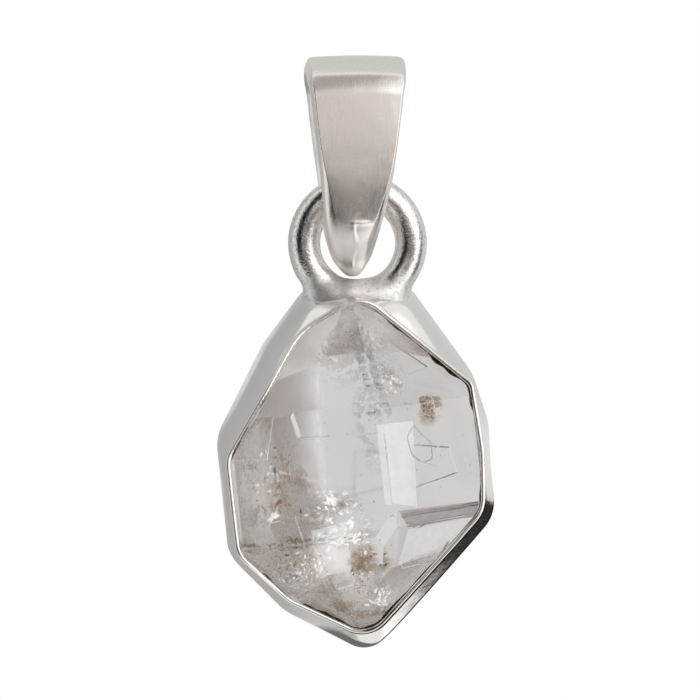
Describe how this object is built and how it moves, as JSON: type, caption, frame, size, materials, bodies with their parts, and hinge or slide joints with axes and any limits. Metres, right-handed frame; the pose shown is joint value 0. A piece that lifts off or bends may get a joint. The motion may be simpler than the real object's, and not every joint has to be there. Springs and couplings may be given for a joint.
{
  "type": "herkimer diamond pendant",
  "caption": "Clear double-ended quartz crystal in an open-backed silver bezel, with a soldered ring and a tapered bail that swings on it.",
  "frame": {"origin": "centre of the bounding box in X and Y, on the flat surface that the pendant lies on", "axes": "+X across the pendant, to the right in the picture; +Y from the setting towards the bail; +Z out of the crystal's face"},
  "size_m": [0.0122, 0.0264, 0.0083],
  "materials": {
    "clear_quartz": "clear natural crystal with veils",
    "satin_silver": "softly polished silver",
    "seat_silver": "satin silver",
    "polished_silver": "polished silver",
    "bright_silver": "polished silver"
  },
  "bodies": {
    "setting": {"bezel_wall": "satin_silver", "crystal": "clear_quartz", "seat_ledge": "seat_silver", "soldered_ring": "polished_silver"},
    "bail": {"bail": "bright_silver"}
  },
  "joints": [
    {"name": "bail_swing", "type": "hinge", "parent": "setting", "child": "bail", "pos_m": [0.00008, 0.00727, 0.00266], "axis": [1, 0, 0], "range_deg": [-60, 60]}
  ]
}
